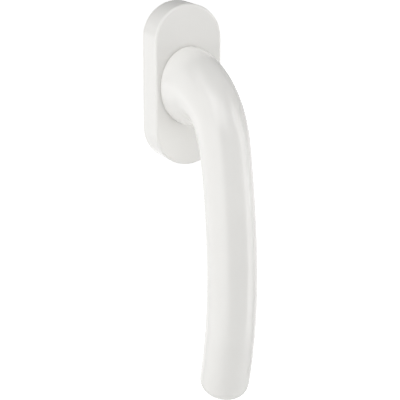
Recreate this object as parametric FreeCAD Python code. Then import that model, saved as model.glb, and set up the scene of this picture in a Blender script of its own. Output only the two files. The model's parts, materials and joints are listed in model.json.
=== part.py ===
# Window handle for an inward-opening sash: a moulded lever on an obround rose.
#
# Frame: millimetres, +Z up, -Y out of the sash towards the hand, X across.
# The origin is on the spindle's axis, in the rose's back plane, where it meets the sash.
# The lever is drawn at rest, pointing down. "Out" below is the distance in front of the sash, -Y.
import FreeCAD, Part
import math
import os

from FreeCAD import Matrix, Vector

# ---- driving dimensions -------------------------------------------------------------------
# rose cover
ROSE_HEIGHT = 70.0
ROSE_WIDTH = 30.9
ROSE_DEPTH = 13.9
ROSE_WALL = 1.8
ROSE_EDGE = 1.2            # radius round the front edge

# lever: its centreline runs straight out, turns down, then follows two long gentle arcs
NECK_STRAIGHT = 9.6
ELBOW_RADIUS = 26.4
ELBOW_TURN = 76.0          # degrees
GRIP_UPPER_RADIUS = 255.0
GRIP_UPPER_LENGTH = 46.5
GRIP_LOWER_RADIUS = 158.0
GRIP_LOWER_LENGTH = 62.0
NECK_HALF_HEIGHT = 16.95   # the neck's oval foot on the rose
NECK_HALF_WIDTH = 13.45
NECK_HEIGHT_FADE = 17.1    # distance along the centreline in which the oval fades to round
NECK_WIDTH_FADE = 27.5
GRIP_RADIUS = 10.42
GRIP_SWELL = 0.18          # growth of the radius from the neck to the tip
TIP_ROUND = 5.5

# steel core of the lever and the socket that it is pinned in
CORE_DIAMETER = 9.0
CORE_ELBOW_RADIUS = 17.0
CORE_SHORT_OF_TIP = 9.0
CORE_PIN_DIAMETER = 3.0
SOCKET_DIAMETER = 16.0
SOCKET_LENGTH = 18.6
SOCKET_STUB_DIAMETER = 13.6
GRUB_DIAMETER = 5.0
GRUB_LENGTH = 6.0
GRUB_OUT = 20.0

# spindle
SPINDLE_SQUARE = 7.0
SPINDLE_BEHIND = 24.0
SPINDLE_IN_SOCKET = 12.0
SPINDLE_CHAMFER = 0.8
SPINDLE_PIN_DIAMETER = 1.6

# base plate, with its locating pegs and screws
PLATE_HEADROOM = 1.1       # between the keeper and the cover's ceiling
SCREW_PITCH = 43.0
PEG_DIAMETER = 10.0
PEG_LENGTH = 6.0
SCREW_DIAMETER = 5.0
SCREW_SHANK_DIAMETER = 4.5 # the plain shank above the thread
SCREW_HEAD_DIAMETER = 9.2
SCREW_LENGTH = 30.0
SCREW_POINT = 1.0
KEEPER_THICKNESS = 1.0
SNAP_HEIGHT = 0.6
SNAP_WIDTH = 1.2
SNAP_LENGTH = 14.0
SNAP_OUT = 3.0
POCKET_DEPTH = 3.0         # cored pockets in the plate's back, as a casting has
POCKET_WALL = 1.6          # rim, rings and ribs between the pockets

# rotor, the four-notch disc that the detent balls press on
JOURNAL_DIAMETER = 14.0
JOURNAL_SUNK = 0.2         # its rear end, below the sash face
ROTOR_RIM = 1.5            # the disc's step up from the journal
ROTOR_THICKNESS = 3.6
COLLAR_HEIGHT = 2.2
NOTCH_COUNT = 4
NOTCH_DEPTH = 0.7
BALL_DIAMETER = 3.6
BALL_LIFT = 0.12           # a lifted ball's distance from the rotor's rim
SPRING_DIAMETER = 3.2
SPRING_WIRE = 0.5
CHANNEL_WALL = 1.7         # between a detent channel and the countersink beyond it

# bearing, washer and ring behind the plate
RECESS_MARGIN = 0.6
BUSH_WALL = 1.2
BUSH_FLANGE = 0.8
SHIM_THICKNESS = 0.5
RING_THICKNESS = 1.0
RING_LAND = 0.6            # the journal's rim behind the groove
RING_GROOVE = 0.5
RING_RADIAL = 1.9
RING_OPENING = 4.5

# slide ring between the neck and the rose
SLIDE_FLANGE_DIAMETER = 22.0
SLIDE_FLANGE = 0.4
SLIDE_WALL = 1.7

# clearances
RUNNING = 0.1              # between faces that turn or slide on each other
LOOSE = 0.3                # round parts that are dropped in
FIT = 0.05                 # between parts that are pressed or moulded together

# ---- sizes that follow --------------------------------------------------------------------
OUT = Vector(0, -1, 0)
UP = Vector(0, 0, 1)
ACROSS = Vector(1, 0, 0)
NECK_OUT = ROSE_DEPTH + SLIDE_FLANGE + RUNNING
CEILING_OUT = ROSE_DEPTH - ROSE_WALL
INNER_WALL_X = ROSE_WIDTH / 2 - ROSE_WALL
PLATE_DEPTH = CEILING_OUT - PLATE_HEADROOM - KEEPER_THICKNESS
PLATE_WIDTH = ROSE_WIDTH - 2 * (ROSE_WALL + LOOSE)
PLATE_HEIGHT = ROSE_HEIGHT - 2 * (ROSE_WALL + LOOSE)
SCREW_Z = SCREW_PITCH / 2
ROTOR_OUT = PLATE_DEPTH - RUNNING - ROTOR_THICKNESS
ROTOR_FRONT = ROTOR_OUT + ROTOR_THICKNESS
COLLAR_OUT = ROTOR_FRONT + COLLAR_HEIGHT
ROTOR_RADIUS = JOURNAL_DIAMETER / 2 + ROTOR_RIM
BALL_RADIUS = BALL_DIAMETER / 2
BALL_OUT = ROTOR_OUT + ROTOR_THICKNESS / 2
BALL_Z = ROTOR_RADIUS + BALL_RADIUS + BALL_LIFT
SPRING_Z = BALL_Z + BALL_RADIUS * 0.6
CHANNEL_WIDTH = BALL_DIAMETER + 2 * RUNNING
CHANNEL_END = SCREW_Z - SCREW_HEAD_DIAMETER / 2 - CHANNEL_WALL
SPRING_LENGTH = CHANNEL_END - RUNNING - SPRING_Z
RING_OUT = JOURNAL_SUNK + RING_LAND
SHIM_OUT = RING_OUT + RING_THICKNESS + FIT
BUSH_REAR = SHIM_OUT + SHIM_THICKNESS + FIT
RECESS_DEPTH = BUSH_REAR + BUSH_FLANGE
RING_DIAMETER = JOURNAL_DIAMETER + 2 * RING_RADIAL
RECESS_DIAMETER = RING_DIAMETER + 2 * RECESS_MARGIN
STUB_OUT = COLLAR_OUT + RUNNING
SOCKET_FRONT = NECK_OUT + SOCKET_LENGTH
SPINDLE_FRONT = NECK_OUT + SPINDLE_IN_SOCKET
SQUARE_BORE = SPINDLE_SQUARE + 2 * RUNNING
BORE_FRONT = SPINDLE_FRONT + RUNNING
CORE_OUT = BORE_FRONT + 1.0
CORE_PIN_OUT = (CORE_OUT + SOCKET_FRONT) / 2
GRIP_PATH = (
    (NECK_STRAIGHT, None),
    (math.radians(ELBOW_TURN) * ELBOW_RADIUS, ELBOW_RADIUS),
    (GRIP_UPPER_LENGTH, GRIP_UPPER_RADIUS),
    (GRIP_LOWER_LENGTH, GRIP_LOWER_RADIUS),
)
GRIP_LENGTH = sum(length for length, radius in GRIP_PATH)


# ---- helpers ------------------------------------------------------------------------------
def at(out, z=0.0, x=0.0):
    return Vector(x, -out, z)


def rod(diameter, start, end, z=0.0, x=0.0):
    """A cylinder square to the sash, from one distance out to another."""
    return Part.makeCylinder(diameter / 2, end - start, at(start, z, x), OUT)


def tube(outer, inner, start, end):
    return rod(outer, start, end).cut(rod(inner, start - 1, end + 1))


def cone(start_diameter, end_diameter, start, end, z=0.0):
    return Part.makeCone(start_diameter / 2, end_diameter / 2, end - start, at(start, z), OUT)


def block(size_x, size_z, start, end, x=0.0, z=0.0):
    """A box square to the sash, centred on x and z."""
    corner = Vector(x - size_x / 2, -end, z - size_z / 2)
    return Part.makeBox(size_x, end - start, size_z, corner)


def obround(width, height, start, end):
    """A plate with straight sides and half-round ends."""
    radius = width / 2
    straight = height / 2 - radius
    right = Part.makeLine(at(start, -straight, radius), at(start, straight, radius))
    left = Part.makeLine(at(start, straight, -radius), at(start, -straight, -radius))
    top = Part.Arc(at(start, straight, radius), at(start, height / 2), at(start, straight, -radius))
    foot = Part.Arc(at(start, -straight, -radius), at(start, -height / 2), at(start, -straight, radius))
    wire = Part.Wire([right, top.toShape(), left, foot.toShape()])
    return Part.Face(wire).extrude(OUT * (end - start))


def edges_at(shape, out):
    """The edges that lie wholly in the plane at this distance out."""
    return [e for e in shape.Edges if all(abs(v.Point.y + out) < 0.001 for v in e.Vertexes)
            and abs(e.BoundBox.YLength) < 0.001]


def heading(angle):
    """The direction that has turned down from straight out by an angle in radians."""
    return Vector(0, -math.cos(angle), -math.sin(angle))


def travel(point, angle, length, radius):
    """The point and angle after going a length along a straight run or a downward arc."""
    if radius is None:
        return point + heading(angle) * length, angle
    turned = angle + length / radius
    step = Vector(0, -(math.sin(turned) - math.sin(angle)), math.cos(turned) - math.cos(angle))
    return point + step * radius, turned


def along(path, start, distance):
    """The point and angle at a distance along a path of runs and tangent arcs."""
    point, angle = start
    for length, radius in path:
        step = min(length, distance)
        point, angle = travel(point, angle, step, radius)
        distance -= step
        if distance <= 0:
            break
    return point, angle


def pipe(path, start, diameter):
    """A round bar along a path of runs and tangent arcs."""
    edges = []
    point, angle = start
    for length, radius in path:
        middle = travel(point, angle, length / 2, radius)[0]
        end, turned = travel(point, angle, length, radius)
        if radius is None:
            edges.append(Part.makeLine(point, end))
        else:
            edges.append(Part.Arc(point, middle, end).toShape())
        point, angle = end, turned
    section = Part.Wire(Part.makeCircle(diameter / 2, start[0], heading(start[1])))
    return Part.Wire(edges).makePipeShell([section], True, True)


def save(name, shape):
    shape.exportStep("parts/" + name + ".step")
    print(name, len(shape.Solids), round(shape.Volume, 2), shape.isValid())


# ---- lever --------------------------------------------------------------------------------
def grip_section(distance):
    """The oval across the lever at a distance along its centreline."""
    point, angle = along(GRIP_PATH, (at(NECK_OUT), 0.0), distance)
    radius = GRIP_RADIUS + GRIP_SWELL * distance / GRIP_LENGTH
    tall = math.exp(-(distance / NECK_HEIGHT_FADE) ** 2.56)
    wide = math.exp(-(distance / NECK_WIDTH_FADE) ** 1.82)
    half_height = radius + (NECK_HALF_HEIGHT - GRIP_RADIUS) * tall
    half_width = radius + (NECK_HALF_WIDTH - GRIP_RADIUS) * wide
    ahead = heading(angle)
    above = Vector(0, ahead.z, -ahead.y)
    place = Matrix(
        half_width, above.x * half_height, ahead.x, point.x,
        0, above.y * half_height, ahead.y, point.y,
        0, above.z * half_height, ahead.z, point.z,
        0, 0, 0, 1)
    return Part.Wire(Part.makeCircle(1.0)).transformGeometry(place)


def grip_body():
    steps = 28
    sections = [grip_section(GRIP_LENGTH * (step / steps) ** 1.25) for step in range(steps + 1)]
    body = Part.makeLoft(sections, True, False)
    tip = along(GRIP_PATH, (at(NECK_OUT), 0.0), GRIP_LENGTH)[0]
    rim = min(body.Edges, key=lambda e: e.BoundBox.Center.distanceToPoint(tip))
    return body.makeFillet(TIP_ROUND, [rim])


def core_path():
    """The core's own runs: straight out of the socket, a tight elbow, then the lever's arcs."""
    turn = math.radians(ELBOW_TURN)
    neck_end = at(NECK_OUT + NECK_STRAIGHT)
    elbow_end, angle = travel(neck_end, 0.0, turn * ELBOW_RADIUS, ELBOW_RADIUS)
    # the core's elbow and the straight after it end where the lever's elbow ends
    reach = CORE_ELBOW_RADIUS * math.tan(turn / 2)
    slope = Vector(0, elbow_end.y, elbow_end.z)
    down = -slope.z / math.sin(turn)
    corner_out = -slope.y - down * math.cos(turn)
    first = corner_out - reach - CORE_OUT
    lower = GRIP_LOWER_LENGTH - CORE_SHORT_OF_TIP
    return (
        (first, None),
        (turn * CORE_ELBOW_RADIUS, CORE_ELBOW_RADIUS),
        (down - reach, None),
        (GRIP_UPPER_LENGTH, GRIP_UPPER_RADIUS),
        (lower, GRIP_LOWER_RADIUS),
    )


def lever():
    start = (at(CORE_OUT), 0.0)
    core = pipe(core_path(), start, CORE_DIAMETER)
    core_room = pipe(core_path(), start, CORE_DIAMETER + 2 * FIT)
    core_pin = Part.makeCylinder(CORE_PIN_DIAMETER / 2, SOCKET_DIAMETER,
                                 at(CORE_PIN_OUT, 0, -SOCKET_DIAMETER / 2), ACROSS)
    pin_room = Part.makeCylinder(CORE_PIN_DIAMETER / 2 + FIT, SOCKET_DIAMETER + 2,
                                 at(CORE_PIN_OUT, 0, -SOCKET_DIAMETER / 2 - 1), ACROSS)
    pin_trim = rod(SOCKET_DIAMETER - 0.4, CORE_PIN_OUT - 3, CORE_PIN_OUT + 3)

    grub_top = -(SPINDLE_SQUARE / 2 + FIT)
    grub = Part.makeCylinder(GRUB_DIAMETER / 2, GRUB_LENGTH, at(GRUB_OUT, grub_top), -UP)
    grub_room = Part.makeCylinder(GRUB_DIAMETER / 2 + FIT, SOCKET_DIAMETER, at(GRUB_OUT), -UP)
    grub_access = Part.makeCylinder(GRUB_DIAMETER / 2 + LOOSE, 3 * NECK_HALF_HEIGHT, at(GRUB_OUT), -UP)

    socket = rod(SOCKET_DIAMETER, NECK_OUT, SOCKET_FRONT)
    socket = socket.fuse(rod(SOCKET_STUB_DIAMETER, STUB_OUT, NECK_OUT + 1))
    socket = socket.cut(block(SQUARE_BORE, SQUARE_BORE, STUB_OUT - 1, BORE_FRONT))
    socket = socket.cut(core_room).cut(pin_room).cut(grub_room)

    grip = grip_body()
    grip = grip.cut(rod(SOCKET_DIAMETER + 2 * FIT, NECK_OUT - 1, SOCKET_FRONT + FIT))
    grip = grip.cut(core_room).cut(grub_access)

    save("grip", grip)
    save("steel_core", core.cut(pin_room))
    save("neck_socket", socket.removeSplitter())
    save("core_pin", core_pin.common(pin_trim))
    save("grub_screw", grub)


# ---- spindle and rotor --------------------------------------------------------------------
def spindle_and_rotor():
    pin_out = ROTOR_FRONT + COLLAR_HEIGHT / 2
    pin_length = JOURNAL_DIAMETER - 0.6
    pin = Part.makeCylinder(SPINDLE_PIN_DIAMETER / 2, pin_length,
                            at(pin_out, 0, -pin_length / 2), ACROSS)
    pin_room = Part.makeCylinder(SPINDLE_PIN_DIAMETER / 2 + FIT, JOURNAL_DIAMETER + 2,
                                 at(pin_out, 0, -JOURNAL_DIAMETER / 2 - 1), ACROSS)

    spindle = block(SPINDLE_SQUARE, SPINDLE_SQUARE, -SPINDLE_BEHIND, SPINDLE_FRONT)
    ends = edges_at(spindle, -SPINDLE_BEHIND) + edges_at(spindle, SPINDLE_FRONT)
    spindle = spindle.makeChamfer(SPINDLE_CHAMFER, ends).cut(pin_room)

    rotor = rod(2 * ROTOR_RADIUS, ROTOR_OUT, ROTOR_FRONT)
    rotor = rotor.fuse(rod(JOURNAL_DIAMETER, JOURNAL_SUNK, COLLAR_OUT))
    groove = tube(JOURNAL_DIAMETER + 2, JOURNAL_DIAMETER - 2 * RING_GROOVE,
                  RING_OUT - FIT, RING_OUT + RING_THICKNESS + FIT)
    rotor = rotor.cut(groove).cut(pin_room)
    rotor = rotor.cut(block(SQUARE_BORE, SQUARE_BORE, JOURNAL_SUNK - 1, COLLAR_OUT + 1))
    for notch in range(NOTCH_COUNT):
        angle = 2 * math.pi * notch / NOTCH_COUNT
        reach = ROTOR_RADIUS + BALL_RADIUS - NOTCH_DEPTH
        centre = at(BALL_OUT, reach * math.cos(angle), reach * math.sin(angle))
        rotor = rotor.cut(Part.makeSphere(BALL_RADIUS + RUNNING, centre))

    ring = tube(RING_DIAMETER, JOURNAL_DIAMETER - 2 * RING_GROOVE + 2 * FIT,
                RING_OUT, RING_OUT + RING_THICKNESS)
    ring = ring.cut(block(RING_OPENING, JOURNAL_DIAMETER, RING_OUT - 1,
                          RING_OUT + RING_THICKNESS + 1, z=JOURNAL_DIAMETER / 2))

    save("spindle", spindle)
    save("detent_rotor", rotor)
    save("spindle_pin", pin)
    save("retaining_ring", ring)
    save("shim_washer", tube(RING_DIAMETER, JOURNAL_DIAMETER + 4 * FIT,
                             SHIM_OUT, SHIM_OUT + SHIM_THICKNESS))


# ---- rose ---------------------------------------------------------------------------------
def back_pockets():
    """The hollows in the plate's back: all but its rim, its three rings and the ribs between them."""
    pockets = obround(PLATE_WIDTH - 2 * POCKET_WALL, PLATE_HEIGHT - 2 * POCKET_WALL, -1, POCKET_DEPTH)
    pockets = pockets.cut(rod(RECESS_DIAMETER + 2 * POCKET_WALL, -2, POCKET_DEPTH + 1))
    pockets = pockets.cut(block(POCKET_WALL, PLATE_HEIGHT, -2, POCKET_DEPTH + 1))
    for side in (1, -1):
        pockets = pockets.cut(rod(PEG_DIAMETER + 2 * POCKET_WALL, -2, POCKET_DEPTH + 1, side * SCREW_Z))
        pockets = pockets.cut(block(PLATE_WIDTH, POCKET_WALL, -2, POCKET_DEPTH + 1, z=side * SCREW_Z))
    return pockets


def base_plate():
    plate = obround(PLATE_WIDTH, PLATE_HEIGHT, 0, PLATE_DEPTH).cut(back_pockets())
    web_bore = JOURNAL_DIAMETER + 2 * (RUNNING + BUSH_WALL + FIT)
    plate = plate.cut(rod(RECESS_DIAMETER, -1, RECESS_DEPTH))
    plate = plate.cut(rod(web_bore, -1, PLATE_DEPTH + 1))
    plate = plate.cut(rod(2 * (ROTOR_RADIUS + LOOSE), ROTOR_OUT - RUNNING, PLATE_DEPTH + 1))
    for side in (1, -1):
        plate = plate.fuse(rod(PEG_DIAMETER, -PEG_LENGTH, 1, side * SCREW_Z))
    for side in (1, -1):
        plate = plate.cut(block(CHANNEL_WIDTH, CHANNEL_END, BALL_OUT - CHANNEL_WIDTH / 2,
                                PLATE_DEPTH + 1, z=side * CHANNEL_END / 2))
        plate = plate.cut(screw_room(side * SCREW_Z))
        groove_x = side * (INNER_WALL_X - (SNAP_HEIGHT + LOOSE) / 2)
        plate = plate.cut(block(SNAP_HEIGHT + LOOSE, SNAP_LENGTH + 2 * LOOSE, SNAP_OUT - LOOSE,
                                SNAP_OUT + SNAP_WIDTH + LOOSE, x=groove_x))
    return plate.removeSplitter()


def screw_room(z):
    """The clearance hole and countersink for one fixing screw."""
    top = PLATE_DEPTH + KEEPER_THICKNESS
    sink = (SCREW_HEAD_DIAMETER - SCREW_DIAMETER) / 2
    hole = rod(SCREW_DIAMETER + 2 * RUNNING, -PEG_LENGTH - 1, top + 1, z)
    seat = cone(SCREW_DIAMETER + 2 * RUNNING, SCREW_HEAD_DIAMETER + 2 * RUNNING, top - sink, top, z)
    return hole.fuse(seat)


def screw(z):
    top = PLATE_DEPTH + KEEPER_THICKNESS
    sink = (SCREW_HEAD_DIAMETER - SCREW_DIAMETER) / 2
    tip = top - SCREW_LENGTH
    thread = rod(SCREW_DIAMETER, tip + SCREW_POINT, -PEG_LENGTH, z)
    shank = rod(SCREW_SHANK_DIAMETER, -PEG_LENGTH - 1, top - sink, z)
    head = cone(SCREW_DIAMETER, SCREW_HEAD_DIAMETER, top - sink, top, z)
    point = cone(SCREW_DIAMETER - 2 * SCREW_POINT, SCREW_DIAMETER, tip, tip + SCREW_POINT, z)
    return shank.fuse([thread, head, point]).removeSplitter()


def rose_cover():
    cover = obround(ROSE_WIDTH, ROSE_HEIGHT, 0, ROSE_DEPTH)
    cover = cover.makeFillet(ROSE_EDGE, edges_at(cover, ROSE_DEPTH))
    cover = cover.cut(obround(ROSE_WIDTH - 2 * ROSE_WALL, ROSE_HEIGHT - 2 * ROSE_WALL, -1, CEILING_OUT))
    hole = SOCKET_STUB_DIAMETER + 2 * (RUNNING + SLIDE_WALL + FIT)
    cover = cover.cut(rod(hole, CEILING_OUT - 1, ROSE_DEPTH + 1))
    for side in (1, -1):
        rib = SNAP_HEIGHT + ROSE_WALL / 2
        rib_x = side * (INNER_WALL_X - SNAP_HEIGHT + rib / 2)
        cover = cover.fuse(block(rib, SNAP_LENGTH, SNAP_OUT, SNAP_OUT + SNAP_WIDTH, x=rib_x))
    return cover.removeSplitter()


def rose():
    save("base_plate", base_plate())
    save("rose_cover", rose_cover())

    keeper_hole = JOURNAL_DIAMETER + 2 * LOOSE
    keeper = obround(PLATE_WIDTH, PLATE_HEIGHT, PLATE_DEPTH, PLATE_DEPTH + KEEPER_THICKNESS)
    keeper = keeper.cut(rod(keeper_hole, PLATE_DEPTH - 1, PLATE_DEPTH + KEEPER_THICKNESS + 1))
    for name, side in (("upper", 1), ("lower", -1)):
        keeper = keeper.cut(screw_room(side * SCREW_Z))
        save("fixing_screw_" + name, screw(side * SCREW_Z))
        save("detent_ball_" + name, Part.makeSphere(BALL_RADIUS, at(BALL_OUT, side * BALL_Z)))
        coil = Part.makeCylinder(SPRING_DIAMETER / 2, SPRING_LENGTH,
                                 at(BALL_OUT, side * SPRING_Z), UP * side)
        bore = Part.makeCylinder(SPRING_DIAMETER / 2 - SPRING_WIRE, SPRING_LENGTH + 2,
                                 at(BALL_OUT, side * (SPRING_Z - 1)), UP * side)
        ball_room = Part.makeSphere(BALL_RADIUS + FIT, at(BALL_OUT, side * BALL_Z))
        save("detent_spring_" + name, coil.cut(bore).cut(ball_room))
    save("detent_keeper", keeper)

    bush_bore = JOURNAL_DIAMETER + 2 * RUNNING
    bush_outer = bush_bore + 2 * BUSH_WALL
    bush = tube(bush_outer, bush_bore, BUSH_REAR, ROTOR_OUT - RUNNING)
    bush = bush.fuse(tube(RECESS_DIAMETER - 2 * FIT, bush_bore, BUSH_REAR, RECESS_DEPTH))
    save("bearing_bush", bush.removeSplitter())

    slide_bore = SOCKET_STUB_DIAMETER + 2 * RUNNING
    slide = tube(slide_bore + 2 * SLIDE_WALL, slide_bore, CEILING_OUT, ROSE_DEPTH)
    slide = slide.fuse(tube(SLIDE_FLANGE_DIAMETER, slide_bore, ROSE_DEPTH, ROSE_DEPTH + SLIDE_FLANGE))
    save("slide_ring", slide.removeSplitter())


os.makedirs("parts", exist_ok=True)
lever()
spindle_and_rotor()
rose()
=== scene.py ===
"""Looks of a white moulded window handle: a bowed lever on an obround rose, and the works behind them."""
import json
import math

import bmesh
import bpy
from mathutils import Matrix, Vector


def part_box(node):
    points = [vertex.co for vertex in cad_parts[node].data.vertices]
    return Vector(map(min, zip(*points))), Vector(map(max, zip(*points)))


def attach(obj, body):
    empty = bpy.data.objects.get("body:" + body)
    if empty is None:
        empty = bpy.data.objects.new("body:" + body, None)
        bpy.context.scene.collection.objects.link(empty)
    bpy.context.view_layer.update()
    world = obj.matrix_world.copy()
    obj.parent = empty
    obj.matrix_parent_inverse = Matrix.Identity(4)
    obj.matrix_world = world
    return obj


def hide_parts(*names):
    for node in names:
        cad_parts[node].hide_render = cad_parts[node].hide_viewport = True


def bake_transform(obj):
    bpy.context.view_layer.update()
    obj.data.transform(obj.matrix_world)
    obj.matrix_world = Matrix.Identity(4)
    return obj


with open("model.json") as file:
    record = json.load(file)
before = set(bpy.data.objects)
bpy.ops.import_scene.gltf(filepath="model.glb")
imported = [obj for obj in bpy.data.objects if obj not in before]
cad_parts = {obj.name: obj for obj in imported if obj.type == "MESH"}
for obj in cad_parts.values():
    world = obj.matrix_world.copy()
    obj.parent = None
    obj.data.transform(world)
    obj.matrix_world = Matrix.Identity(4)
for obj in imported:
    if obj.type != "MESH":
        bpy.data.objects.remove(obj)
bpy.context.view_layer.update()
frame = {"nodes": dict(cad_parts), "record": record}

# Shapes are built in millimetres and brought to metres once, when a piece is finished.
# "Out" is the distance in front of the sash, along -Y.
MM = 0.001
FACING_OUT = Matrix.Rotation(math.pi / 2, 4, "X")     # takes a shape's own Z to out, and its Y to up
HANGING = Matrix.Rotation(math.pi, 4, "X")            # takes its Z to down
ACROSS = Matrix.Rotation(math.pi / 2, 4, "Y")         # takes its Z to the right
WHOLE = math.tau
MERGE_WITHIN = 0.0005
RIM_WITHIN = 0.001        # how near a cut's plane the points of its rim lie
PLANE_WITHIN = 0.00001    # how near it a point counts as lying on it
TURNED_SIDES = 64
CUT_PAST = 2.0            # how far a cutting shape starts outside what it cuts

# ---- the lever's centreline and section, the same values as the CAD lever --------------------
NECK_STRAIGHT = 9.6
ELBOW_RADIUS = 26.4
ELBOW_TURN = math.radians(76.0)
GRIP_UPPER_RADIUS = 255.0
GRIP_UPPER_LENGTH = 46.5
GRIP_LOWER_RADIUS = 158.0
GRIP_LOWER_LENGTH = 62.0
NECK_HALF_HEIGHT = 16.95
NECK_HALF_WIDTH = 13.45
NECK_HEIGHT_FADE = 17.1
NECK_WIDTH_FADE = 27.5
NECK_HEIGHT_FALL = 2.56   # the higher, the more suddenly the neck gives way to the grip
NECK_WIDTH_FALL = 1.82
GRIP_RADIUS = 10.42
GRIP_SWELL = 0.18
TIP_ROUND = 5.5
TIP_STEPS = 6
TIP_FACE_INSETS = (6.2, 8.6)
FOOT_ROUND = 0.25
FOOT_KNEE = 0.15
FOOT_FACE_INSET = 6.0
NECK_STATIONS = (1.6, 3.2, 5.6, 8.0, 10.0)
GRIP_STEPS = 52
LEVER_SIDES = 32
LEVER_SUBDIVISIONS = 2
GRIP_PATH = (
    (NECK_STRAIGHT, None),
    (ELBOW_TURN * ELBOW_RADIUS, ELBOW_RADIUS),
    (GRIP_UPPER_LENGTH, GRIP_UPPER_RADIUS),
    (GRIP_LOWER_LENGTH, GRIP_LOWER_RADIUS),
)
GRIP_LENGTH = sum(length for length, radius in GRIP_PATH)
CORE_ROOM_DIAMETER = 9.1
CORE_ELBOW_RADIUS = 17.0
CORE_SHORT_OF_TIP = 9.0
CORE_STEPS = 60
CORE_SIDES = 32
SOCKET_ROOM_DIAMETER = 16.1
SOCKET_ROOM_SPARE = 0.05
GRUB_ACCESS_DIAMETER = 5.6
GRUB_ACCESS_LENGTH = 30.0

# ---- rose and works --------------------------------------------------------------------------
ROSE_WALL = 1.8
ROSE_EDGE = 1.2
ROSE_EDGE_STEPS = 10
ROSE_SIDES = 96
RIM_CHAMFER = 0.2
FACE_LAND = 0.3
INNER_CORNER = 0.5
SNAP_SIZE = (1.5, 14.0, 1.2)      # into the wall, up, out
SNAP_PROUD = 0.6
SNAP_OUT = 3.0
SNAP_LEAD_IN = 0.3
COVER_HOLE_DIAMETER = 17.3
COVER_HOLE_EASE = 0.3
SCREW_DIAMETER = 5.0
SCREW_SHANK_DIAMETER = 4.5
SCREW_POINT = 1.0
THREAD_RUNOUT = 0.7       # where the thread fades out, short of the shank
SHANK_TAPER = 0.3
SHANK_JOINT = (0.5, 0.2)  # how deep in the thread the shank starts, and is at its full width
HEAD_UNDERCUT = 0.3       # how far below the head's cone the shank starts to widen
HEAD_EDGE = 0.15
HEAD_EASE = 0.1
RECESS_DEPTH = 2.8
RECESS_REACH = 2.5
RECESS_FLOOR = 0.4        # the reach at the recess's floor, as a share of that at its mouth
RECESS_WING = 0.22        # a wing's width, as a share of its reach
RECESS_MIDDLE = 0.9       # how far below the head's face the middle of the recess lies
THREAD_PITCH = 0.8
THREAD_DEPTH = 0.5413     # of the pitch
THREAD_STEPS = 24
THREAD_CLEAR = 0.2        # how far a blank that trims a thread stands off its crests
THREAD_SPARE = 1.0        # how much longer than its blank a thread is made
GRUB_BEVEL = 0.5
GRUB_ACROSS_FLATS = 2.5
GRUB_SOCKET_DEPTH = 2.5
GRUB_CUP = ((0, -1), (2.0, -1), (1.2, 0.2), (0, 0.9))
SPRING_DIAMETER = 3.2
SPRING_WIRE = 0.5
SPRING_WIRE_SIDES = 12
SPRING_STEPS = 28
SPRING_END_TURNS = 0.75
SPRING_OPEN_TURNS = 2.5
SPRING_CLEARANCE = 0.02
BALL_DIAMETER = 3.6
SPINDLE_CHAMFER = 0.8
SPINDLE_EDGE = 0.35
SPINDLE_PIN_DIAMETER = 1.7
PIN_ROOM_LENGTH = 12.0
RING_WIDTH = 2.35
RING_EASE = 0.12
RING_HALF_GAP = math.radians(17.0)
RING_EYE_DIAMETER = 1.2
RING_EYE_FROM_GAP = math.radians(9.0)
RING_STEPS = 90


# ---- sizes read from the frame ---------------------------------------------------------------
def box_mm(node):
    """The lowest and highest corner of a CAD node, in millimetres."""
    low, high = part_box(node)
    return low / MM, high / MM


def out_range(node):
    """How far out a node starts and ends."""
    low, high = box_mm(node)
    return -high.y, -low.y


def out_from(out, z=0.0, x=0.0):
    """The place of a shape that stands on a point and faces out."""
    return Matrix.Translation((x, -out, z)) @ FACING_OUT


# ---- mesh helpers ----------------------------------------------------------------------------
def loop_edges(ring):
    """The edges that join a loop of vertices to each other, each once."""
    members = set(ring)
    return list(dict.fromkeys(e for v in ring for e in v.link_edges if e.other_vert(v) in members))


def close_up(mesh):
    """Merges doubled vertices and turns every face outwards."""
    bmesh.ops.remove_doubles(mesh, verts=mesh.verts, dist=MERGE_WITHIN)
    bmesh.ops.recalc_face_normals(mesh, faces=mesh.faces)
    return mesh


def placed(mesh, place):
    bmesh.ops.transform(mesh, matrix=place, verts=mesh.verts)
    return mesh


def sweep(places, sides):
    """A closed bar: a unit circle carried from place to place, each a matrix, and capped."""
    mesh = bmesh.new()
    first = ring = bmesh.ops.create_circle(mesh, segments=sides, radius=1.0)["verts"]
    now = places[0]
    bmesh.ops.transform(mesh, matrix=now, verts=ring)
    for place in places[1:]:
        made = bmesh.ops.extrude_edge_only(mesh, edges=loop_edges(ring))["geom"]
        ring = [v for v in made if isinstance(v, bmesh.types.BMVert)]
        bmesh.ops.transform(mesh, matrix=place @ now.inverted(), verts=ring)
        now = place
    for end in (first, ring):
        bmesh.ops.edgeloop_fill(mesh, edges=loop_edges(end))
    return close_up(mesh)


def turned(outline):
    """A lathe-turned shape: its outline, as radius and height, spun about Z."""
    mesh = bmesh.new()
    points = [mesh.verts.new((radius, 0, height)) for radius, height in outline]
    for first, second in zip(points, points[1:]):
        mesh.edges.new((first, second))
    bmesh.ops.spin(mesh, geom=mesh.verts[:] + mesh.edges[:], cent=(0, 0, 0), axis=(0, 0, 1),
                   dvec=(0, 0, 0), angle=WHOLE, steps=TURNED_SIDES, use_merge=True)
    return close_up(mesh)


def rod(diameter, length, place, sides):
    """A round bar that stands on its place and runs along its Z."""
    mesh = bmesh.new()
    middle = place @ Matrix.Translation((0, 0, length / 2))
    bmesh.ops.create_cone(mesh, cap_ends=True, segments=sides, radius1=diameter / 2,
                          radius2=diameter / 2, depth=length, matrix=middle)
    return mesh


def block(size, place):
    """A box centred on its place."""
    mesh = bmesh.new()
    bmesh.ops.create_cube(mesh, size=1.0, matrix=place @ Matrix.Diagonal((*size, 1.0)))
    return mesh


def loose_object(mesh, name):
    data = bpy.data.meshes.new(name)
    mesh.to_mesh(data)
    mesh.free()
    made = bpy.data.objects.new(name, data)
    bpy.context.scene.collection.objects.link(made)
    return made


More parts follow.
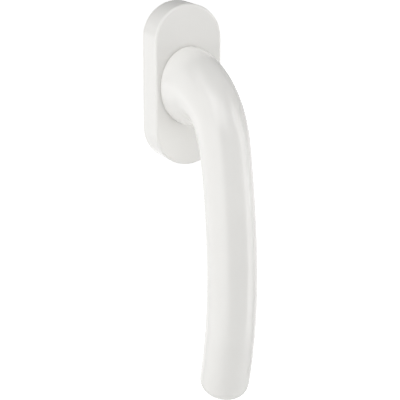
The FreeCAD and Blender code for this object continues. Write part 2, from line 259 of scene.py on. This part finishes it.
def worked(mesh, add_modifiers, tools=()):
    """The mesh after its modifiers, with the tool shapes that they name cleared away."""
    workpiece = loose_object(mesh, "workpiece")
    tool_objects = [loose_object(tool, "tool") for tool in tools]
    add_modifiers(workpiece, tool_objects)
    result = bmesh.new()
    result.from_object(workpiece, bpy.context.evaluated_depsgraph_get())
    for used in [workpiece] + tool_objects:
        data = used.data
        bpy.data.objects.remove(used)
        bpy.data.meshes.remove(data)
    return result


def combine(mesh, tools, operation="DIFFERENCE"):
    """Cuts closed shapes out of a mesh, or joins them to it, or keeps what they share."""
    def add_modifiers(workpiece, tool_objects):
        for tool in tool_objects:
            modifier = workpiece.modifiers.new("combine", "BOOLEAN")
            modifier.operation = operation
            modifier.solver = "EXACT"
            modifier.object = tool
    return worked(mesh, add_modifiers, tools)


def subdivided(mesh, levels):
    """The mesh as a subdivision surface."""
    def add_modifiers(workpiece, tool_objects):
        modifier = workpiece.modifiers.new("smooth", "SUBSURF")
        modifier.levels = levels
        modifier.render_levels = levels
    return worked(mesh, add_modifiers)


def finish_piece(name, mesh, material, body, node, sharp):
    """Brings a mesh to metres, shades it smooth but for edges past the sharp angle, and lets it
    ride in place of its CAD node. A piece that blends between bodies has no body here."""
    close_up(mesh)
    bmesh.ops.transform(mesh, matrix=Matrix.Scale(MM, 4), verts=mesh.verts)
    piece = loose_object(mesh, name)
    piece.data.shade_smooth()
    piece.data.set_sharp_from_angle(angle=math.radians(sharp))
    piece.data.materials.append(material)
    if body:
        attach(piece, body)
    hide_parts(node)
    return piece


# ---- materials -------------------------------------------------------------------------------
NOISE_RANGE = (0.3, 0.7)  # where nearly all of a noise's values lie


def colour(hex_code):
    """An sRGB hex colour as linear RGBA."""
    channels = [int(hex_code[i:i + 2], 16) / 255 for i in (1, 3, 5)]
    linear = [c / 12.92 if c <= 0.04045 else ((c + 0.055) / 1.055) ** 2.4 for c in channels]
    return (*linear, 1.0)


def per_metre(size_mm):
    """The texture scale at which one cell of the pattern has this size."""
    return 1 / (size_mm * MM)


def add_node(tree, kind, settings=None, links=None):
    """Adds a node with its settings, by socket or property name, and the links into it."""
    made = tree.nodes.new(kind)
    for name, value in (settings or {}).items():
        if isinstance(name, int) or name in made.inputs:
            made.inputs[name].default_value = value
        else:
            setattr(made, name, value)
    for name, source in (links or {}).items():
        tree.links.new(source, made.inputs[name])
    return made


def new_material(name):
    """An empty node material, and its tree."""
    material = bpy.data.materials.new(name)
    material.use_nodes = True
    material.node_tree.nodes.clear()
    return material, material.node_tree


def surface(name, tints, cloud_mm, gloss, grain_mm, grain_height, shader_settings,
            stretch=(1.0, 1.0, 1.0)):
    """A material whose colour drifts in soft clouds, and whose gloss and skin vary in a fine grain.

    tints are its two hex colours, gloss its roughness from and to, and the grain's height is in
    millimetres. stretch draws the grain out along the axes that it makes small.
    """
    material, tree = new_material(name)
    place = add_node(tree, "ShaderNodeTexCoord").outputs["Object"]
    drawn = add_node(tree, "ShaderNodeMapping", {"Scale": stretch}, {"Vector": place}).outputs["Vector"]
    cloud = add_node(tree, "ShaderNodeTexNoise", {"Scale": per_metre(cloud_mm), "Detail": 3.0},
                     {"Vector": place}).outputs["Fac"]
    grain = add_node(tree, "ShaderNodeTexNoise",
                     {"Scale": per_metre(grain_mm), "Detail": 4.0, "Roughness": 0.6},
                     {"Vector": drawn}).outputs["Fac"]
    tint = add_node(tree, "ShaderNodeValToRGB", {}, {"Fac": cloud})
    for stop, (position, hex_code) in zip(tint.color_ramp.elements, zip(NOISE_RANGE, tints)):
        stop.position = position
        stop.color = colour(hex_code)
    rough = add_node(tree, "ShaderNodeMapRange",
                     {"From Min": NOISE_RANGE[0], "From Max": NOISE_RANGE[1],
                      "To Min": gloss[0], "To Max": gloss[1]}, {"Value": grain})
    bump = add_node(tree, "ShaderNodeBump", {"Strength": 1.0, "Distance": grain_height * MM},
                    {"Height": grain})
    shader = add_node(tree, "ShaderNodeBsdfPrincipled", shader_settings,
                      {"Base Color": tint.outputs["Color"], "Roughness": rough.outputs["Result"],
                       "Normal": bump.outputs["Normal"]})
    add_node(tree, "ShaderNodeOutputMaterial", {}, {"Surface": shader.outputs["BSDF"]})
    return material


def make_materials():
    """One material for each of the record's slots."""
    return {
        # polyamide 6 moulded in a polished tool: a warm white, too dense with pigment for light to
        # pass, with a soft gloss that blurs what it mirrors and a skin that is barely uneven
        "polyamide_white": surface(
            "polyamide_moulded_white", tints=("#EFEEEB", "#F1F0ED"), cloud_mm=18.0, gloss=(0.17, 0.22),
            grain_mm=0.4, grain_height=0.0005, shader_settings={"IOR": 1.53}),
        # zinc alloy as it leaves the die: pale blue grey, satin, with a faint mottle from the flow
        "zinc_die_cast": surface(
            "zinc_alloy_die_cast", tints=("#9DA1A5", "#B4B7BA"), cloud_mm=6.0, gloss=(0.34, 0.52),
            grain_mm=0.35, grain_height=0.004, shader_settings={"Metallic": 1.0}),
        # steel with clear-passivated zinc plating: bright and cool, with a breath of yellow and blue
        "steel_zinc_plated": surface(
            "steel_zinc_plated", tints=("#C2C8D0", "#D2D0C6"), cloud_mm=4.0, gloss=(0.22, 0.34),
            grain_mm=0.25, grain_height=0.0004, shader_settings={"Metallic": 1.0}),
        # hard-drawn spring wire: mid grey with fine lines drawn out along the way it lies
        "spring_steel": surface(
            "spring_steel_drawn", tints=("#85878A", "#989A9C"), cloud_mm=2.0, gloss=(0.24, 0.38),
            grain_mm=0.12, grain_height=0.0015, shader_settings={"Metallic": 1.0},
            stretch=(1.0, 1.0, 0.2)),
        # steel blackened in a hot salt bath: near black with a dull oily sheen
        "steel_blackened": surface(
            "steel_blackened", tints=("#1B1B1D", "#2A2A2D"), cloud_mm=3.0, gloss=(0.36, 0.5),
            grain_mm=0.2, grain_height=0.002, shader_settings={"Metallic": 1.0}),
        # bright steel, ground: a clean grey that mirrors softly, broken by fine grinding lines
        "steel_bright": surface(
            "steel_bright_ground", tints=("#BFC1C3", "#CDCECF"), cloud_mm=5.0, gloss=(0.14, 0.26),
            grain_mm=0.15, grain_height=0.001, shader_settings={"Metallic": 1.0},
            stretch=(1.0, 0.15, 1.0)),
        # acetal, injection moulded: a cooler, waxier white than the polyamide, which light enters
        "acetal_white": surface(
            "acetal_moulded_white", tints=("#ECECE8", "#F2F2EF"), cloud_mm=8.0, gloss=(0.34, 0.42),
            grain_mm=0.3, grain_height=0.001,
            shader_settings={"IOR": 1.48, "Subsurface Weight": 0.3, "Subsurface Scale": 0.001}),
    }


# ---- lever -----------------------------------------------------------------------------------
def heading(angle):
    """The direction that has turned down from straight out by an angle."""
    return Vector((0, -math.cos(angle), -math.sin(angle)))


def travel(point, angle, length, radius):
    """The point and angle after a straight run or a downward arc."""
    if radius is None:
        return point + heading(angle) * length, angle
    turned_to = angle + length / radius
    step = Vector((0, math.sin(angle) - math.sin(turned_to), math.cos(turned_to) - math.cos(angle)))
    return point + radius * step, turned_to


def along(path, start_out, distance):
    """The point and angle at a distance along a path that starts straight out."""
    point, angle = Vector((0, -start_out, 0)), 0.0
    for length, radius in path:
        step = min(length, distance)
        point, angle = travel(point, angle, step, radius)
        distance -= step
        if distance <= 0:
            break
    return point, angle


def oval_at(path, start_out, distance, half_width, half_height):
    """The matrix that takes a unit circle to an oval square to a path."""
    point, angle = along(path, start_out, distance)
    ahead = heading(angle)
    above = Vector((0, ahead.z, -ahead.y))
    columns = (Vector((half_width, 0, 0)), above * half_height, ahead, point)
    return Matrix([[c[row] for c in columns] for row in range(3)] + [[0, 0, 0, 1]])


def lever_section(distance, inset=0.0):
    """The lever's oval at a distance from the rose, drawn in by an inset."""
    radius = GRIP_RADIUS + GRIP_SWELL * distance / GRIP_LENGTH
    tall = math.exp(-(distance / NECK_HEIGHT_FADE) ** NECK_HEIGHT_FALL)
    wide = math.exp(-(distance / NECK_WIDTH_FADE) ** NECK_WIDTH_FALL)
    # a subdivided ring draws in, so the cage is a little larger than the lever
    grow = 3 / (2 + math.cos(WHOLE / LEVER_SIDES))
    half_height = grow * (radius + (NECK_HALF_HEIGHT - GRIP_RADIUS) * tall - inset)
    half_width = grow * (radius + (NECK_HALF_WIDTH - GRIP_RADIUS) * wide - inset)
    return oval_at(GRIP_PATH, out_range("grip")[0], distance, half_width, half_height)


def core_room():
    """The lever's bore for its steel core: straight, a tight elbow, then the lever's own arcs."""
    start_out = out_range("steel_core")[0]
    elbow_end, angle = along(GRIP_PATH, out_range("grip")[0], NECK_STRAIGHT + ELBOW_TURN * ELBOW_RADIUS)
    reach = CORE_ELBOW_RADIUS * math.tan(ELBOW_TURN / 2)
    down = -elbow_end.z / math.sin(ELBOW_TURN)
    corner_out = -elbow_end.y - down * math.cos(ELBOW_TURN)
    path = (
        (corner_out - reach - start_out, None),
        (ELBOW_TURN * CORE_ELBOW_RADIUS, CORE_ELBOW_RADIUS),
        (down - reach, None),
        (GRIP_UPPER_LENGTH, GRIP_UPPER_RADIUS),
        (GRIP_LOWER_LENGTH - CORE_SHORT_OF_TIP, GRIP_LOWER_RADIUS),
    )
    length = sum(run for run, radius in path)
    radius = CORE_ROOM_DIAMETER / 2
    return sweep([oval_at(path, start_out, length * step / CORE_STEPS, radius, radius)
                  for step in range(CORE_STEPS + 1)], CORE_SIDES)


def lever(material):
    """The moulded lever: one swept skin with a rounded foot and tip, bored for the works in it."""
    # a station is a distance from the rose, and how far the section is drawn in there
    knee = FOOT_KNEE * FOOT_ROUND
    stations = [(0.0, FOOT_FACE_INSET), (0.0, FOOT_ROUND), (knee, knee), (FOOT_ROUND, 0.0)]
    stations += [(distance, 0.0) for distance in NECK_STATIONS]
    neck_end = NECK_STATIONS[-1]
    grip_end = GRIP_LENGTH - TIP_ROUND
    stations += [(neck_end + (grip_end - neck_end) * step / GRIP_STEPS, 0.0)
                 for step in range(1, GRIP_STEPS + 1)]
    for step in range(1, TIP_STEPS + 1):
        turn = math.radians(90 / TIP_STEPS * step)
        stations.append((grip_end + TIP_ROUND * math.sin(turn), TIP_ROUND * (1 - math.cos(turn))))
    stations += [(GRIP_LENGTH, inset) for inset in TIP_FACE_INSETS]
    cage = sweep([lever_section(*station) for station in stations], LEVER_SIDES)
    foot_out = out_range("grip")[0]
    socket_end = out_range("neck_socket")[1] + SOCKET_ROOM_SPARE
    grub_low, grub_high = box_mm("grub_screw")
    tools = [
        rod(SOCKET_ROOM_DIAMETER, socket_end - foot_out + CUT_PAST,
            out_from(foot_out - CUT_PAST), sides=64),
        core_room(),
        rod(GRUB_ACCESS_DIAMETER, GRUB_ACCESS_LENGTH,
            Matrix.Translation((0, (grub_low.y + grub_high.y) / 2, 0)) @ HANGING, sides=40),
    ]
    mesh = combine(subdivided(cage, LEVER_SUBDIVISIONS), tools)
    finish_piece("lever_sleeve", mesh, material, "handle", "grip", sharp=40)


# ---- rose ------------------------------------------------------------------------------------
def obround_shell(outline):
    """A closed ring wall. Each step of its outline gives an obround loop's radius, the half length
    of its straight sides and its height."""
    mesh = bmesh.new()
    half_step = Matrix.Rotation(math.pi / ROSE_SIDES, 4, "Z")
    ring = bmesh.ops.create_circle(mesh, segments=ROSE_SIDES, radius=1.0, matrix=half_step)["verts"]
    radius, straight, height = 1.0, 0.0, 0.0
    for index, step in enumerate(outline + outline[:1]):
        if index:
            made = bmesh.ops.extrude_edge_only(mesh, edges=loop_edges(ring))["geom"]
            ring = [v for v in made if isinstance(v, bmesh.types.BMVert)]
        for side in (1, -1):
            back = Matrix.Translation((0, -side * straight, -height))
            there = Matrix.Translation((0, side * step[1], step[2])) @ Matrix.Scale(step[0] / radius, 4)
            bmesh.ops.transform(mesh, matrix=there @ back, verts=[v for v in ring if v.co.y * side > 0])
        radius, straight, height = step
    return close_up(mesh)


def rose(material):
    """The cover: a moulded obround cap with an eased front edge, which snaps over the plate."""
    low, high = box_mm("rose_cover")
    radius = high.x
    straight = high.z - radius
    depth = -low.y
    inside = radius - ROSE_WALL
    hole = COVER_HOLE_DIAMETER / 2
    ceiling = depth - ROSE_WALL
    outline = [(radius - RIM_CHAMFER, straight, 0.0), (radius, straight, RIM_CHAMFER),
               (radius, straight, depth - ROSE_EDGE)]
    for step in range(1, ROSE_EDGE_STEPS + 1):
        turn = math.pi / 2 * step / ROSE_EDGE_STEPS
        outline.append((radius - ROSE_EDGE * (1 - math.cos(turn)), straight,
                        depth - ROSE_EDGE * (1 - math.sin(turn))))
    outline += [
        (radius - ROSE_EDGE - FACE_LAND, straight, depth),
        (hole + COVER_HOLE_EASE, 0.0, depth), (hole, 0.0, depth - COVER_HOLE_EASE),
        (hole, 0.0, ceiling),
        (inside - INNER_CORNER, straight, ceiling), (inside, straight, ceiling - INNER_CORNER),
        (inside, straight, RIM_CHAMFER), (inside + RIM_CHAMFER, straight, 0.0),
    ]
    ribs = []
    for side in (1, -1):
        rib_x = side * (inside - SNAP_PROUD + SNAP_SIZE[0] / 2)
        rib = block(SNAP_SIZE, out_from(SNAP_OUT + SNAP_SIZE[2] / 2, 0, rib_x))
        # the lead-in lets the cover snap over the plate
        bmesh.ops.bevel(rib, geom=rib.edges[:], offset=SNAP_LEAD_IN, affect="EDGES", segments=2,
                        profile=0.5, material=-1)
        ribs.append(rib)
    mesh = combine(placed(obround_shell(outline), FACING_OUT), ribs, "UNION")
    finish_piece("rose_shell", mesh, material, "rose", "rose_cover", sharp=30)


# ---- screws ----------------------------------------------------------------------------------
def thread(length):
    """A closed M5 rod along Z with a helical thread: flanks at thirty degrees, and flats a quarter
    of the pitch wide at the roots and an eighth at the crests."""
    crest = SCREW_DIAMETER / 2
    root = crest - THREAD_DEPTH * THREAD_PITCH
    outline = ((root, 0.0), (root, 0.25), (crest, 0.5625), (crest, 0.6875), (root, 1.0))
    turns = math.ceil(length / THREAD_PITCH) + 2
    mesh = bmesh.new()
    points = [mesh.verts.new((radius, 0, (share - 1) * THREAD_PITCH)) for radius, share in outline]
    for first, second in zip(points, points[1:]):
        mesh.edges.new((first, second))
    bmesh.ops.spin(mesh, geom=mesh.verts[:] + mesh.edges[:], cent=(0, 0, 0), axis=(0, 0, 1),
                   dvec=(0, 0, THREAD_PITCH / THREAD_STEPS), angle=WHOLE * turns,
                   steps=THREAD_STEPS * turns)
    bmesh.ops.remove_doubles(mesh, verts=mesh.verts, dist=MERGE_WITHIN)
    for height, side in ((0.0, -1), (length, 1)):
        bmesh.ops.bisect_plane(mesh, geom=mesh.verts[:] + mesh.edges[:] + mesh.faces[:],
                               dist=PLANE_WITHIN, plane_co=(0, 0, height), plane_no=(0, 0, side),
                               clear_outer=True)
        rim = [e for e in mesh.edges
               if e.is_boundary and all(abs(v.co.z - height) < RIM_WITHIN for v in e.verts)]
        bmesh.ops.holes_fill(mesh, edges=rim, sides=0)
    return close_up(mesh)


def cross_recess(middle):
    """Two tapered wings, crossed, that cut a driver's recess: they stand on Z, open end up."""
    wings = []
    square_up = Matrix.Rotation(math.pi / 4, 4, "Z")
    for turn in (0.0, math.pi / 2):
        mesh = bmesh.new()
        thin = Matrix.Diagonal((1.0, RECESS_WING, 1.0, 1.0))
        flatten = Matrix.Rotation(turn, 4, "Z") @ thin @ square_up
        bmesh.ops.create_cone(mesh, cap_ends=True, segments=4,
                              radius1=RECESS_FLOOR * RECESS_REACH * math.sqrt(2),
                              radius2=RECESS_REACH * math.sqrt(2), depth=RECESS_DEPTH, matrix=flatten)
        wings.append(placed(mesh, Matrix.Translation((0, 0, middle))))
    return wings


def fixing_screw(side, material):
    """A countersunk M5 screw with a cross recess, a plain shank and a threaded end."""
    node = "fixing_screw_" + side
    tip, top = out_range(node)
    low, high = box_mm(node)
    head = (high.x - low.x) / 2
    thread_end = out_range("base_plate")[0] - tip
    length = top - tip
    radius = SCREW_DIAMETER / 2
    shank = SCREW_SHANK_DIAMETER / 2
    clear = radius + THREAD_CLEAR
    blank = turned([(0, 0), (radius - SCREW_POINT, 0), (radius, SCREW_POINT),
                    (clear, SCREW_POINT + THREAD_CLEAR), (clear, thread_end - THREAD_RUNOUT),
                    (shank - SHANK_TAPER, thread_end), (0, thread_end)])
    # a long thread is trimmed to a blank with a point, and then joined to the shank and head
    mesh = combine(thread(thread_end + THREAD_SPARE), [blank], "INTERSECT")
    seat = length - (head - radius)
    joint_start, joint_end = (thread_end - depth for depth in SHANK_JOINT)
    body = turned([(0, joint_start), (shank - SHANK_TAPER, joint_start), (shank, joint_end),
                   (shank, seat - HEAD_UNDERCUT), (radius, seat),
                   (head - HEAD_EDGE, length - HEAD_EDGE), (head, length - HEAD_EASE),
                   (head - HEAD_EASE, length), (0, length)])
    mesh = combine(combine(mesh, [body], "UNION"), cross_recess(length - RECESS_MIDDLE))
    placed(mesh, out_from(tip, (low.z + high.z) / 2))
    finish_piece(node + "_cut", mesh, material, "rose", node, sharp=30)


def grub_screw(material):
    """A set screw with a hexagon socket and a cup point, which clamps the spindle from below."""
    low, high = box_mm("grub_screw")
    length = high.z - low.z
    radius = SCREW_DIAMETER / 2
    clear = radius + THREAD_CLEAR
    bevelled = GRUB_BEVEL + THREAD_CLEAR
    blank = turned([(0, 0), (radius - GRUB_BEVEL, 0), (clear, bevelled), (clear, length - bevelled),
                    (radius - GRUB_BEVEL, length), (0, length)])
    mesh = combine(thread(length + THREAD_SPARE), [blank], "INTERSECT")
    socket = rod(GRUB_ACROSS_FLATS / math.cos(math.pi / 6), GRUB_SOCKET_DEPTH + CUT_PAST / 2,
                 Matrix.Translation((0, 0, length - GRUB_SOCKET_DEPTH)), sides=6)
    cup = turned(GRUB_CUP)
    mesh = placed(combine(mesh, [socket, cup]),
                  Matrix.Translation((0, (low.y + high.y) / 2, high.z)) @ HANGING)
    finish_piece("grub_screw_cut", mesh, material, "handle", "grub_screw", sharp=30)


# ---- springs, spindle, retaining ring --------------------------------------------------------
def detent_spring(side, up, material):
    """A coil of spring wire with closed ends, between the channel's end and the ball. up is 1 where
    the channel runs up from the rotor, and -1 where it runs down."""
    node = "detent_spring_" + side
    low, high = box_mm(node)
    ball_low, ball_high = box_mm("detent_ball_" + side)
    y = (low.y + high.y) / 2
    fixed_end = max(abs(low.z), abs(high.z))
    ball_z = abs(ball_low.z + ball_high.z) / 2
    coil = (SPRING_DIAMETER - SPRING_WIRE) / 2
    touching = (BALL_DIAMETER + SPRING_WIRE) / 2 + SPRING_CLEARANCE
    start = ball_z + math.sqrt(touching ** 2 - coil ** 2)
    rise = fixed_end - SPRING_WIRE / 2 - start
    end_pitch = SPRING_WIRE + SPRING_CLEARANCE
    open_pitch = (rise - 2 * SPRING_END_TURNS * end_pitch) / SPRING_OPEN_TURNS
    mesh = bmesh.new()
    wire = bmesh.ops.create_circle(mesh, segments=SPRING_WIRE_SIDES, radius=SPRING_WIRE / 2,
                                   matrix=Matrix.Translation((coil, 0, start)) @ FACING_OUT)["verts"]
    first = loop_edges(wire)
    section = wire + first
    runs = ((SPRING_END_TURNS, end_pitch), (SPRING_OPEN_TURNS, open_pitch), (SPRING_END_TURNS, end_pitch))
    for turns, pitch in runs:
        section = bmesh.ops.spin(mesh, geom=section, cent=(0, 0, 0), axis=(0, 0, 1),
                                 dvec=(0, 0, pitch / SPRING_STEPS), angle=WHOLE * turns,
                                 steps=round(SPRING_STEPS * turns))["geom_last"]
    for end in (first, [part for part in section if isinstance(part, bmesh.types.BMEdge)]):
        bmesh.ops.edgeloop_fill(mesh, edges=end)
    close_up(mesh)
    placed(mesh, Matrix.Translation((0, y, 0)) @ Matrix.Rotation(0 if up > 0 else math.pi, 4, "Y"))
    piece = finish_piece(node + "_coil", mesh, material, None, node, sharp=50)
    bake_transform(piece)


def spindle(material):
    """Square drawn bar with eased edges and chamfered ends."""
    low, high = box_mm("spindle")
    side = high.x - low.x
    rear, front = out_range("spindle")
    mesh = block((side, side, front - rear - 2 * SPINDLE_CHAMFER), out_from((rear + front) / 2))
    long_edges = [e for e in mesh.edges if abs(e.verts[0].co.y - e.verts[1].co.y) > side]
    bmesh.ops.bevel(mesh, geom=long_edges, offset=SPINDLE_EDGE, affect="EDGES", segments=3,
                    profile=0.5, material=-1)
    mesh.normal_update()
    ends = [face for face in mesh.faces if abs(face.normal.y) > 0.9]
    taper = 1 - 2 * SPINDLE_CHAMFER / side
    for end in ends:
        outwards = end.normal * SPINDLE_CHAMFER
        tip = bmesh.ops.extrude_discrete_faces(mesh, faces=[end])["faces"][0]
        bmesh.ops.scale(mesh, vec=(taper, 1.0, taper), verts=tip.verts)
        bmesh.ops.translate(mesh, vec=outwards, verts=tip.verts)
    pin_low, pin_high = box_mm("spindle_pin")
    pin_start = (-PIN_ROOM_LENGTH / 2, (pin_low.y + pin_high.y) / 2, 0)
    pin_room = rod(SPINDLE_PIN_DIAMETER, PIN_ROOM_LENGTH, Matrix.Translation(pin_start) @ ACROSS,
                   sides=24)
    finish_piece("spindle_bar", combine(mesh, [pin_room]), material, "handle", "spindle", sharp=30)


def retaining_ring(material):
    """A stamped circlip: a sprung ring, open at the top, with an eye for the pliers in each end."""
    rear, front = out_range("retaining_ring")
    outer = box_mm("retaining_ring")[1].x
    inner = outer - RING_WIDTH
    thick = front - rear
    mesh = bmesh.new()
    outline = [(inner, RING_EASE), (inner + RING_EASE, 0), (outer - RING_EASE, 0), (outer, RING_EASE),
               (outer, thick - RING_EASE), (outer - RING_EASE, thick), (inner + RING_EASE, thick),
               (inner, thick - RING_EASE)]
    turn = Matrix.Rotation(math.pi / 2 + RING_HALF_GAP, 4, "Z")
    points = [mesh.verts.new(turn @ Vector((radius, 0, height))) for radius, height in outline]
    section = [mesh.edges.new(pair) for pair in zip(points, points[1:] + points[:1])]
    spun = bmesh.ops.spin(mesh, geom=points + section, cent=(0, 0, 0), axis=(0, 0, 1), dvec=(0, 0, 0),
                          angle=WHOLE - 2 * RING_HALF_GAP, steps=RING_STEPS)["geom_last"]
    for end in (section, [part for part in spun if isinstance(part, bmesh.types.BMEdge)]):
        bmesh.ops.edgeloop_fill(mesh, edges=end)
    close_up(mesh)
    eyes = []
    middle = (inner + outer) / 2
    for side in (1, -1):
        lean = math.pi / 2 + side * (RING_HALF_GAP + RING_EYE_FROM_GAP)
        start = (middle * math.cos(lean), middle * math.sin(lean), -CUT_PAST / 2)
        eyes.append(rod(RING_EYE_DIAMETER, thick + CUT_PAST, Matrix.Translation(start), sides=24))
    mesh = placed(combine(mesh, eyes), out_from(rear))
    finish_piece("circlip", mesh, material, "handle", "retaining_ring", sharp=30)


# ---- studio ----------------------------------------------------------------------------------
# Lengths are in metres and angles in degrees, but for the lens and its sensor, in millimetres.
# Azimuth 0 is straight in front of the rose, and grows to the right.
CAMERA_TARGET = Vector((3.90, -16.84, -50.63)) * MM
CAMERA_PLACE = (-25.0, 15.06)
CAMERA_DISTANCE = 0.700
CAMERA_LENS = 144.5
CAMERA_SENSOR = 36.0
MIDDLE = Vector((0.0, -0.04, -0.05))
FLOOR_Z = -0.9
FLOOR_RADIUS = 40.0
FLOOR_LIT_TOWARDS = 155.0    # the floor behind the handle is lit from below to full white,
FLOOR_LIT_FROM = (1.0, 1.7)  # between these distances behind it
FLOOR_GLOW = 0.28
TENT_FADE = (8.0, 20.0)      # elevations between which the cloth goes from paler to dim
TENT_GLOW = (0.38, 0.09)
SOFTBOX_DISTANCE = 1.3
SOFTBOXES = (                # name, azimuth, elevation, width, height, brightness
    ("wall_left", -100.0, 8.0, 2.6, 2.1, 0.58),
    ("wall_left_front", -60.0, 8.0, 0.95, 2.1, 0.55),
    ("wall_left_edge", -50.0, 8.0, 0.35, 2.1, 0.75),
    ("strip_right", 60.0, 8.0, 0.91, 2.1, 0.36),
    ("strip_right_core", 57.0, 8.0, 0.32, 2.1, 2.15),
    ("strip_right_side", 74.0, 8.0, 0.42, 2.1, 1.19),
    ("overhead_left", -75.0, 65.0, 1.0, 1.0, 0.9),
    ("overhead_front", -20.0, 62.0, 1.0, 1.0, 1.6),
)


def direction(azimuth, elevation):
    turn, lift = math.radians(azimuth), math.radians(elevation)
    level = math.cos(lift)
    return Vector((math.sin(turn) * level, -math.cos(turn) * level, math.sin(lift)))


def aim(thing, place, target):
    """Puts a camera or a light at a place, looking at a target."""
    thing.location = place
    thing.rotation_mode = "QUATERNION"
    thing.rotation_quaternion = (target - place).to_track_quat("-Z", "Y")
    bpy.context.scene.collection.objects.link(thing)


def camera():
    """From the front left, a little above, at portrait distance."""
    data = bpy.data.cameras.new("camera")
    data.lens = CAMERA_LENS
    data.sensor_width = CAMERA_SENSOR
    made = bpy.data.objects.new("camera", data)
    aim(made, CAMERA_TARGET + CAMERA_DISTANCE * direction(*CAMERA_PLACE), CAMERA_TARGET)
    bpy.context.scene.camera = made


def softbox(name, azimuth, elevation, width, height, brightness):
    """An area light facing the handle. Brightness 1 would show as plain white."""
    data = bpy.data.lights.new(name, "AREA")
    data.shape = "RECTANGLE"
    data.size, data.size_y = width, height
    data.energy = brightness * math.pi * width * height
    made = bpy.data.objects.new(name, data)
    made.visible_camera = False
    aim(made, MIDDLE + SOFTBOX_DISTANCE * direction(azimuth, elevation), MIDDLE)


def light_tent():
    """A dim tent of white cloth, a little paler where it meets the floor."""
    world = bpy.data.worlds.new("light_tent")
    bpy.context.scene.world = world
    world.use_nodes = True
    tree = world.node_tree
    view = add_node(tree, "ShaderNodeTexCoord").outputs["Generated"]
    height = add_node(tree, "ShaderNodeSeparateXYZ", {}, {"Vector": view}).outputs["Z"]
    low, high = (math.sin(math.radians(elevation)) for elevation in TENT_FADE)
    glow = add_node(tree, "ShaderNodeMapRange",
                    {"interpolation_type": "SMOOTHSTEP", "From Min": low, "From Max": high,
                     "To Min": TENT_GLOW[0], "To Max": TENT_GLOW[1]},
                    {"Value": height}).outputs["Result"]
    cloth = tree.nodes["Background"].inputs
    cloth["Color"].default_value = colour("#FFFFFF")
    tree.links.new(glow, cloth["Strength"])


def lit_floor():
    """A wide sheet of opal acrylic that glows from below, brightest behind the handle."""
    material, tree = new_material("acrylic_floor_lit")
    place = add_node(tree, "ShaderNodeTexCoord").outputs["Object"]
    behind = add_node(tree, "ShaderNodeVectorMath",
                      {"operation": "DOT_PRODUCT", 1: direction(FLOOR_LIT_TOWARDS, 0.0)},
                      {0: place}).outputs["Value"]
    glow = add_node(tree, "ShaderNodeMapRange",
                    {"From Min": FLOOR_LIT_FROM[0], "From Max": FLOOR_LIT_FROM[1],
                     "To Min": FLOOR_GLOW, "To Max": 1.0}, {"Value": behind})
    shader = add_node(tree, "ShaderNodeBsdfPrincipled",
                      {"Base Color": colour("#F4F4F3"), "Roughness": 0.9,
                       "Emission Color": colour("#FFFFFF")},
                      {"Emission Strength": glow.outputs["Result"]})
    add_node(tree, "ShaderNodeOutputMaterial", {}, {"Surface": shader.outputs["BSDF"]})
    mesh = bmesh.new()
    bmesh.ops.create_circle(mesh, cap_ends=True, segments=96, radius=FLOOR_RADIUS,
                            matrix=Matrix.Translation((0, 0, FLOOR_Z)))
    floor = loose_object(mesh, "floor")
    floor.data.materials.append(material)


def studio():
    bpy.context.scene.view_settings.view_transform = "Standard"
    light_tent()
    lit_floor()
    for box in SOFTBOXES:
        softbox(*box)


# ---- making ----------------------------------------------------------------------------------
camera()
slot_of = {part["node"]: part["material_slot"] for part in frame["record"]["subparts"]}
material_of = make_materials()
for node, shown in frame["nodes"].items():
    shown.data.materials.clear()
    shown.data.materials.append(material_of[slot_of[node]])
lever(material_of["polyamide_white"])
rose(material_of["polyamide_white"])
for side, up in (("upper", 1), ("lower", -1)):
    fixing_screw(side, material_of["steel_zinc_plated"])
    detent_spring(side, up, material_of["spring_steel"])
grub_screw(material_of["steel_blackened"])
spindle(material_of["steel_zinc_plated"])
retaining_ring(material_of["steel_blackened"])
studio()
